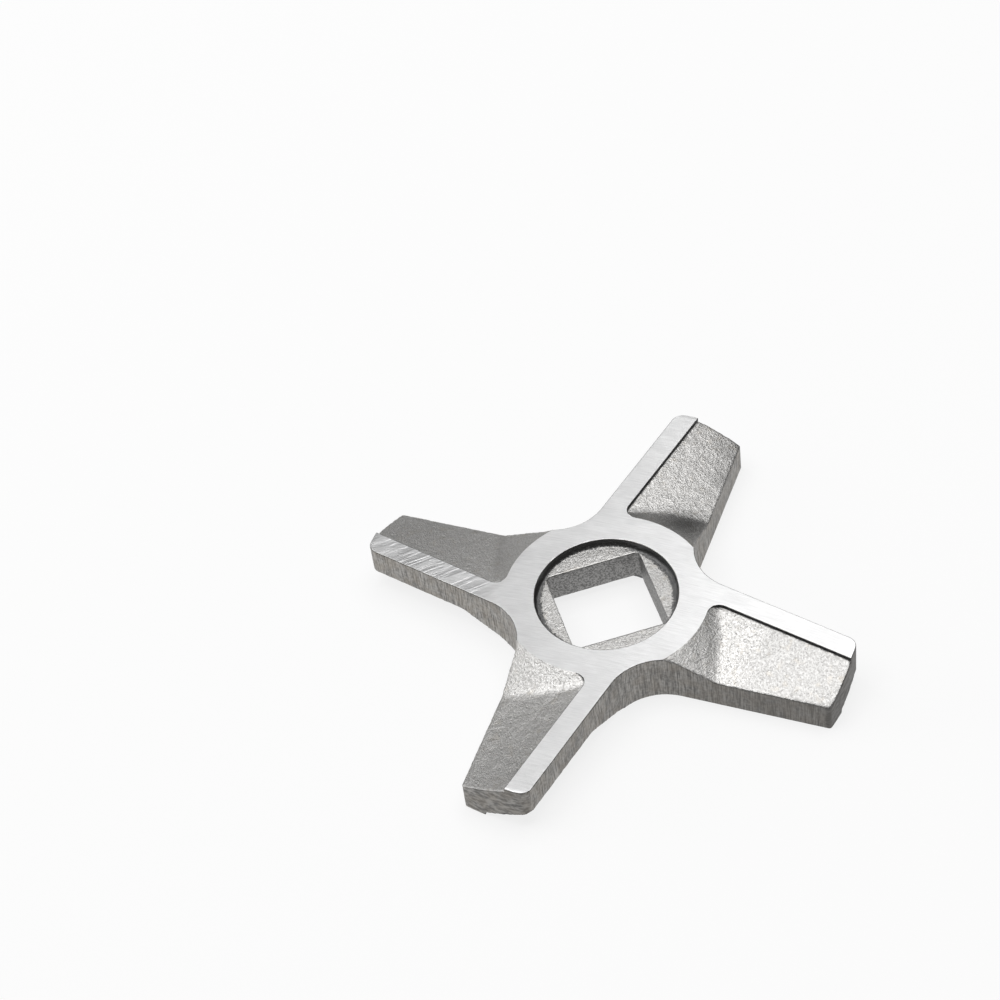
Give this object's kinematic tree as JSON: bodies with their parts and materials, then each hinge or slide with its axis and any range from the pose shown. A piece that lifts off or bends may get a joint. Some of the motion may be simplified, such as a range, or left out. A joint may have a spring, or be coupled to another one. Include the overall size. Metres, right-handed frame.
{
  "type": "meat grinder knife",
  "caption": "Flat cross-shaped cutting knife for a meat grinder, ground on both faces so that it can be turned over, with a square drive hole.",
  "frame": {"origin": "on the axis of the drive hole, at the lower ground face", "axes": "+Z along the feed screw's axis, from the lower ground face to the upper one; +X and +Y square to the sides of the drive hole"},
  "size_m": [0.0384, 0.0384, 0.005],
  "materials": {
    "steel": "ground bright on both faces, rough as cast in the pockets"
  },
  "bodies": {
    "root": {"knife": "steel"}
  },
  "joints": []
}
